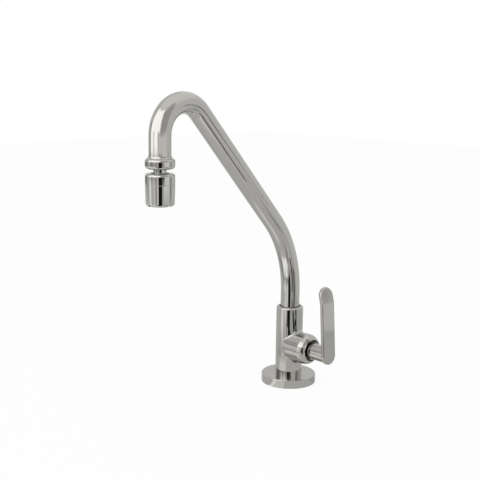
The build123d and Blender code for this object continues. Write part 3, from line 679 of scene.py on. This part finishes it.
moulded = moulded_group()
black_rubber = moulded_finish(
    "black_rubber",
    rubber_black,
    rubber_bloom,
    rubber_smooth,
    rubber_rough,
    rubber_grains,
    rubber_grain_depth,
)
dress(black_rubber, "flange_pad", "deck_pad")

# Inlet shank: a hollow brass stud with a rolled G 1/2 thread over its whole length, broken by a thin relief
# and by the groove for its ring seal. It screws up into the barrel and brings the water.
shank_low, shank_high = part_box("inlet_shank")
shank_crest = (shank_high[0] - shank_low[0]) / 2
shank_bore = 0.0075
shank_end_chamfer = 0.0006
shank_columns = 72
thread_pitch = 0.001814
thread_depth = 0.001162
thread_samples = 12
relief_top = -0.034
relief_foot = -0.0355
relief_depth = 0.0012
edge_share = 0.4  # of a sample; nearer than this to an edge, the edge's own rows stand in
slip_gap = 0.00005
seal_gap = 0.00004
seal_ring = 0.0018
seal_groove_width = 0.0023
seal_groove_middle = shank_high[2] - seal_groove_width
seal_groove_floor = shank_crest + slip_gap - seal_ring - 2 * seal_gap
sharp_turn = radians(38)
brass_colour = (0.78, 0.60, 0.31, 1)
brass_tarnish = (0.52, 0.37, 0.17, 1)
brass_bright = 0.18
brass_dull = 0.42
stain_patches = 140.0
stain_starts = 0.46
stain_full = 0.74


def shank_profile():
    """Rows up the shank: height, radius, how deep the thread goes, and the order of rows at one height."""
    groove_low = seal_groove_middle - seal_groove_width / 2
    groove_high = seal_groove_middle + seal_groove_width / 2
    length = shank_high[2] - shank_low[2]
    sample = thread_pitch / thread_samples
    count = round(length / sample)
    steps = [
        (relief_foot, shank_crest, shank_crest - relief_depth),
        (relief_top, shank_crest - relief_depth, shank_crest),
        (groove_low, shank_crest, seal_groove_floor),
        (groove_high, seal_groove_floor, shank_crest),
    ]
    edges = [edge for edge, _, _ in steps]
    rows = []
    for place in range(count + 1):
        height = shank_low[2] + length * place / count
        too_near = any(abs(height - edge) < sample * edge_share for edge in edges)
        if too_near:
            continue
        plain = between(height, relief_foot, relief_top, nearly_none)
        plain += between(height, groove_low, groove_high, nearly_none)
        deep = relief_depth if height < 0 else shank_crest - seal_groove_floor
        chamfer = max(0.0, shank_end_chamfer - (height - shank_low[2]))
        run_out = min(ease(abs(height - edge) / thread_pitch) for edge in (*edges, shank_high[2]))
        rows.append((height, shank_crest - plain * deep - chamfer, thread_depth * run_out * (1 - plain), 1))
    for edge, radius_below, radius_above in steps:
        rows.append((edge, radius_below, 0.0, 0))
        rows.append((edge, radius_above, 0.0, 2))
    return sorted(rows, key=lambda row: (row[0], row[3]))


def stud_ring(form, height, reach):
    """A ring of corners at this height; the reach is worked out from the turn, 0 to 1 round the axis."""
    ring = []
    for column in range(shank_columns):
        turn = column / shank_columns
        ring.append(form.verts.new((reach(turn) * cos(tau * turn), reach(turn) * sin(tau * turn), height)))
    return ring


def threaded_ring(form, height, crest, deep):
    """A ring of the stud's outside, with the thread's helix sunk into it this deep."""

    def reach(turn):
        phase = (height / thread_pitch - turn) % 1.0
        return min(crest, shank_crest - deep * ease(1 - abs(2 * phase - 1)))

    return stud_ring(form, height, reach)


def threaded_stud(name, rows, bore):
    """A hollow stud whose outside follows these rows."""
    form = bmesh.new()
    rings = [threaded_ring(form, height, crest, deep) for height, crest, deep, _ in rows]
    for height in (rows[-1][0], rows[0][0]):
        rings.append(stud_ring(form, height, lambda turn: bore))
    for low_ring, high_ring in zip(rings, rings[1:] + rings[:1]):
        for column in range(shank_columns):
            after = (column + 1) % shank_columns
            form.faces.new((low_ring[column], low_ring[after], high_ring[after], high_ring[column]))
    return finished_mesh(name, form)


def finished_mesh(name, form):
    """Turns a bmesh into a smooth piece that keeps its sharp edges, and links it."""
    bmesh.ops.recalc_face_normals(form, faces=form.faces)
    for face in form.faces:
        face.smooth = True
    for edge in form.edges:
        edge.smooth = len(edge.link_faces) == 2 and edge.calc_face_angle(0) < sharp_turn
    mesh = bpy.data.meshes.new(name)
    form.to_mesh(mesh)
    form.free()
    piece = bpy.data.objects.new(name, mesh)
    bpy.context.collection.objects.link(piece)
    return piece


def bare_group():
    """The skin of unplated metal: patches of tarnish, duller than the metal between them."""
    group, nodes, links, way_in, way_out = new_group(
        "bare_metal",
        (
            ("Place", "Vector", None),
            ("Metal Color", "Color", brass_colour),
            ("Tarnish Color", "Color", brass_tarnish),
            ("Bright", "Float", brass_bright),
            ("Dull", "Float", brass_dull),
        ),
        (("Color", "Color"), ("Roughness", "Float")),
    )
    stain = noise_in(nodes, links, way_in["Place"], stain_patches, detail=6.0, rough=0.7)
    stain = spread(nodes, links, stain, stain_starts, stain_full)
    colours = way_in["Metal Color"], way_in["Tarnish Color"]
    drift(nodes, links, stain, colours, (way_in["Bright"], way_in["Dull"]), way_out)
    return group


def bare_finish(name, metal, tarnish, bright, dull, lines, line_depth, middle=(0, 0, 0), lie="Z"):
    """Unplated metal as it leaves the lathe: turning marks, and a stain where it has begun to tarnish."""
    paint = new_finish(name, middle, lie)
    skin = use_group(paint, bare, Metal_Color=metal, Tarnish_Color=tarnish, Bright=bright, Dull=dull)
    cover(paint, skin, metallic=1.0)
    add_rings(paint, lines, line_depth)
    return paint


bare = bare_group()
turned_brass = bare_finish(
    "turned_brass", brass_colour, brass_tarnish, brass_bright, brass_dull, lines=5000.0, line_depth=2e-6
)
shank = threaded_stud("threaded_shank", shank_profile(), shank_bore)
shank.data.materials.append(turned_brass)
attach(shank, "base")
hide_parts("inlet_shank")

# Shank seal: a ring of black rubber, moulded, that sits in the shank's groove and seals on the barrel. It is
# smoother than the flat pads.
seal_grain_depth = rubber_grain_depth / 4
seal_rubber = moulded_finish(
    "seal_rubber",
    rubber_black,
    rubber_bloom,
    smooth=0.38,
    rough=0.60,
    grains=rubber_grains,
    depth=seal_grain_depth,
)
dress(seal_rubber, "shank_seal")

# Under the worktop: a washer pressed from stainless steel sheet, and a hexagon nut cut from brass bar, which
# clamps the tap down.
steel_colour = (0.62, 0.615, 0.60, 1)
steel_stain = (0.50, 0.49, 0.475, 1)
rolled_steel = bare_finish(
    "rolled_steel", steel_colour, steel_stain, bright=0.24, dull=0.40, lines=1800.0, line_depth=3e-6
)
dress(rolled_steel, "deck_washer")
dress(turned_brass, "deck_locknut")

# Quarter-turn cartridge in the branch: a turned brass housing and stem, two discs of white fired clay lapped
# flat, rubber seals and a spring clip. The housing, stem and blued clip are coloured darker than their metal,
# as painted shade for the deep mouth of the bonnet where they show.
branch_low, branch_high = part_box("bonnet_ring")
branch_middle = (0.0, 0.0, (branch_low[2] + branch_high[2]) / 2)
# Painted shade: this brass and its stain are darkened to stand for the shade inside the bonnet's mouth.
shade_darkened_brass = (0.17, 0.155, 0.125, 1)
shade_darkened_stain = (0.10, 0.085, 0.065, 1)
# Blued spring steel, and darker still as painted shade for the same deep mouth of the bonnet.
blued_steel_painted_shade = (0.14, 0.14, 0.15, 1)
blued_stain_painted_shade = (0.08, 0.08, 0.085, 1)
clay_white = (0.86, 0.84, 0.79, 1)
clay_shade = (0.80, 0.775, 0.72, 1)
branch_brass_painted_shade = bare_finish(
    "branch_brass_painted_shade",
    shade_darkened_brass,
    shade_darkened_stain,
    bright=0.22,
    dull=0.42,
    lines=6000.0,
    line_depth=1.5e-6,
    middle=branch_middle,
    lie="X",
)
clip_steel_painted_shade = bare_finish(
    "clip_steel_painted_shade",
    blued_steel_painted_shade,
    blued_stain_painted_shade,
    bright=0.28,
    dull=0.42,
    lines=2500.0,
    line_depth=1e-6,
    middle=branch_middle,
    lie="X",
)
fired_clay = moulded_finish(
    "fired_clay", clay_white, clay_shade, smooth=0.16, rough=0.32, grains=5200.0, depth=3e-6, patches=420.0
)
dress(branch_brass_painted_shade, "cartridge_housing", "cartridge_stem")
dress(fired_clay, "fixed_disc", "moving_disc")
dress(seal_rubber, "seat_seal", "housing_seal", "stem_seals")
dress(clip_steel_painted_shade, "stem_clip")

# Bonnet ring: a brass cap screwed over the cartridge, turned about the branch's axis, then polished on its
# rounded end and chromed.
dress(turned_chrome("bonnet_chrome", branch_middle, "X"), "bonnet_ring")

# Lever: one hot pressing of brass, blade and hub together, polished over its flat face and chromed. A steel
# set screw under the hub holds it on the stem.
lever_waves = 70.0
lever_wave_depth = 7e-6
streaks_across = 900.0
streak_length = 0.03
streak_depth = 2.5e-6


def add_streaks(paint):
    """Draws the polishing belt's fine streaks along the blade, over the plating's waves."""
    nodes = paint.node_tree.nodes
    links = paint.node_tree.links
    place = nodes.new("ShaderNodeTexCoord")
    drawn_out = nodes.new("ShaderNodeVectorMath")
    drawn_out.operation = "MULTIPLY"
    drawn_out.inputs[1].default_value = (1, 1, streak_length)
    links.new(place.outputs["Object"], drawn_out.inputs[0])
    streaks = noise_in(nodes, links, drawn_out.outputs[0], streaks_across, detail=3.0, rough=0.6)
    raise_by(paint, streaks, streak_depth)


lever_chrome = chrome_finish("lever_chrome", lever_waves, lever_wave_depth)
add_streaks(lever_chrome)
dress(lever_chrome, "lever_handle")
dress(rolled_steel, "lever_set_screw")

# Spout tube: drawn brass, bent twice in one upright plane, then polished along its length and chromed. Its
# lower end is brazed into the ferrule that turns in the barrel.
tube_waves = 40.0
tube_wave_depth = 8e-6
dress(chrome_finish("drawn_chrome", tube_waves, tube_wave_depth), "spout_tube")

# Foot of the spout, inside the barrel: a turned brass ferrule with its two ring seals, a washer and a bush of
# dark slippery plastic, and an open spring clip of steel that keeps the ferrule down.
plastic_dark = (0.045, 0.045, 0.050, 1)
plastic_scuffed = (0.085, 0.085, 0.090, 1)
dark_plastic = moulded_finish(
    "dark_plastic",
    plastic_dark,
    plastic_scuffed,
    smooth=0.30,
    rough=0.50,
    grains=1500.0,
    depth=8e-6,
    patches=240.0,
)
dress(turned_brass, "spout_ferrule")
dress(seal_rubber, "spout_seals")
dress(rolled_steel, "spout_clip")
dress(dark_plastic, "glide_washer", "guide_bush")

# Outlet collar and swivel stem: brass turned on the outlet's own axis, and chromed. The collar is brazed on
# the tube's end, and the stem, which carries the ball, screws up into it against a flat rubber ring.
outlet_low, outlet_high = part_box("aerator_shell")
outlet_middle = ((outlet_low[0] + outlet_high[0]) / 2, (outlet_low[1] + outlet_high[1]) / 2, 0.0)
head_chrome = turned_chrome("head_chrome", outlet_middle)
dress(head_chrome, "outlet_collar", "swivel_stem")
dress(seal_rubber, "collar_gasket")

# Aerator head: a turned brass cap and tapered shell, chromed and screwed together, with a moulded slip ring
# of dark plastic round the ball.
dress(head_chrome, "swivel_cap", "aerator_shell")
dress(dark_plastic, "slip_ring")

# Inside the head: the ball's cup, a gasket, the mixing core and the honeycomb at the mouth. All but the
# rubber gasket are moulded in white plastic that has yellowed a little.
plastic_white = (0.82, 0.815, 0.79, 1)
plastic_aged = (0.77, 0.755, 0.70, 1)
white_plastic = moulded_finish(
    "white_plastic",
    plastic_white,
    plastic_aged,
    smooth=0.28,
    rough=0.46,
    grains=1800.0,
    depth=6e-6,
    patches=260.0,
)
dress(white_plastic, "ball_cup", "mixing_core", "stream_grid")
dress(seal_rubber, "head_gasket")

# Wire screens: two round discs stamped from a cloth of stainless wire, inside the head. Each wire bends over
# and under those that cross it.
screens_low, screens_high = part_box("wire_screens")
wire_radius = 0.0001
wire_lift = 0.00008
wire_pitch = 0.001
samples_per_crossing = 4
screen_radius = (screens_high[0] - screens_low[0]) / 2 - wire_radius
screen_levels = (
    screens_low[2] + wire_radius + wire_lift,
    screens_high[2] - wire_radius - wire_lift,
)
wires_each_side = int(screen_radius / wire_pitch)


def weave_wire(weave, number, warp, level):
    """One bent wire of a screen, this many wires from the middle, along or across it."""
    offset = number * wire_pitch
    half = sqrt(max(screen_radius**2 - offset**2, 0))
    count = max(2, round(2 * half / wire_pitch * samples_per_crossing))
    wire = weave.splines.new("POLY")
    wire.points.add(count)
    for step in range(count + 1):
        along = -half + 2 * half * step / count
        wave = sin(tau / 4 + tau / 2 * (along / wire_pitch + number))
        lift = level + (wire_lift if warp else -wire_lift) * wave
        across = (offset, along) if warp else (along, offset)
        wire.points[step].co = (outlet_middle[0] + across[0], outlet_middle[1] + across[1], lift, 1)


weave = bpy.data.curves.new("woven_screens", "CURVE")
weave.dimensions = "3D"
weave.bevel_depth = wire_radius
weave.bevel_resolution = 1
weave.use_fill_caps = True
for level in screen_levels:
    for warp in (True, False):
        for number in range(-wires_each_side, wires_each_side + 1):
            weave_wire(weave, number, warp, level)
screen_wire = bare_finish(
    "screen_wire",
    steel_colour,
    steel_stain,
    bright=0.22,
    dull=0.34,
    lines=3000.0,
    line_depth=1e-6,
    middle=outlet_middle,
)
screens = bpy.data.objects.new("woven_screens", weave)
bpy.context.collection.objects.link(screens)
screens.data.materials.append(screen_wire)
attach(screens, "aerator")
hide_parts("wire_screens")
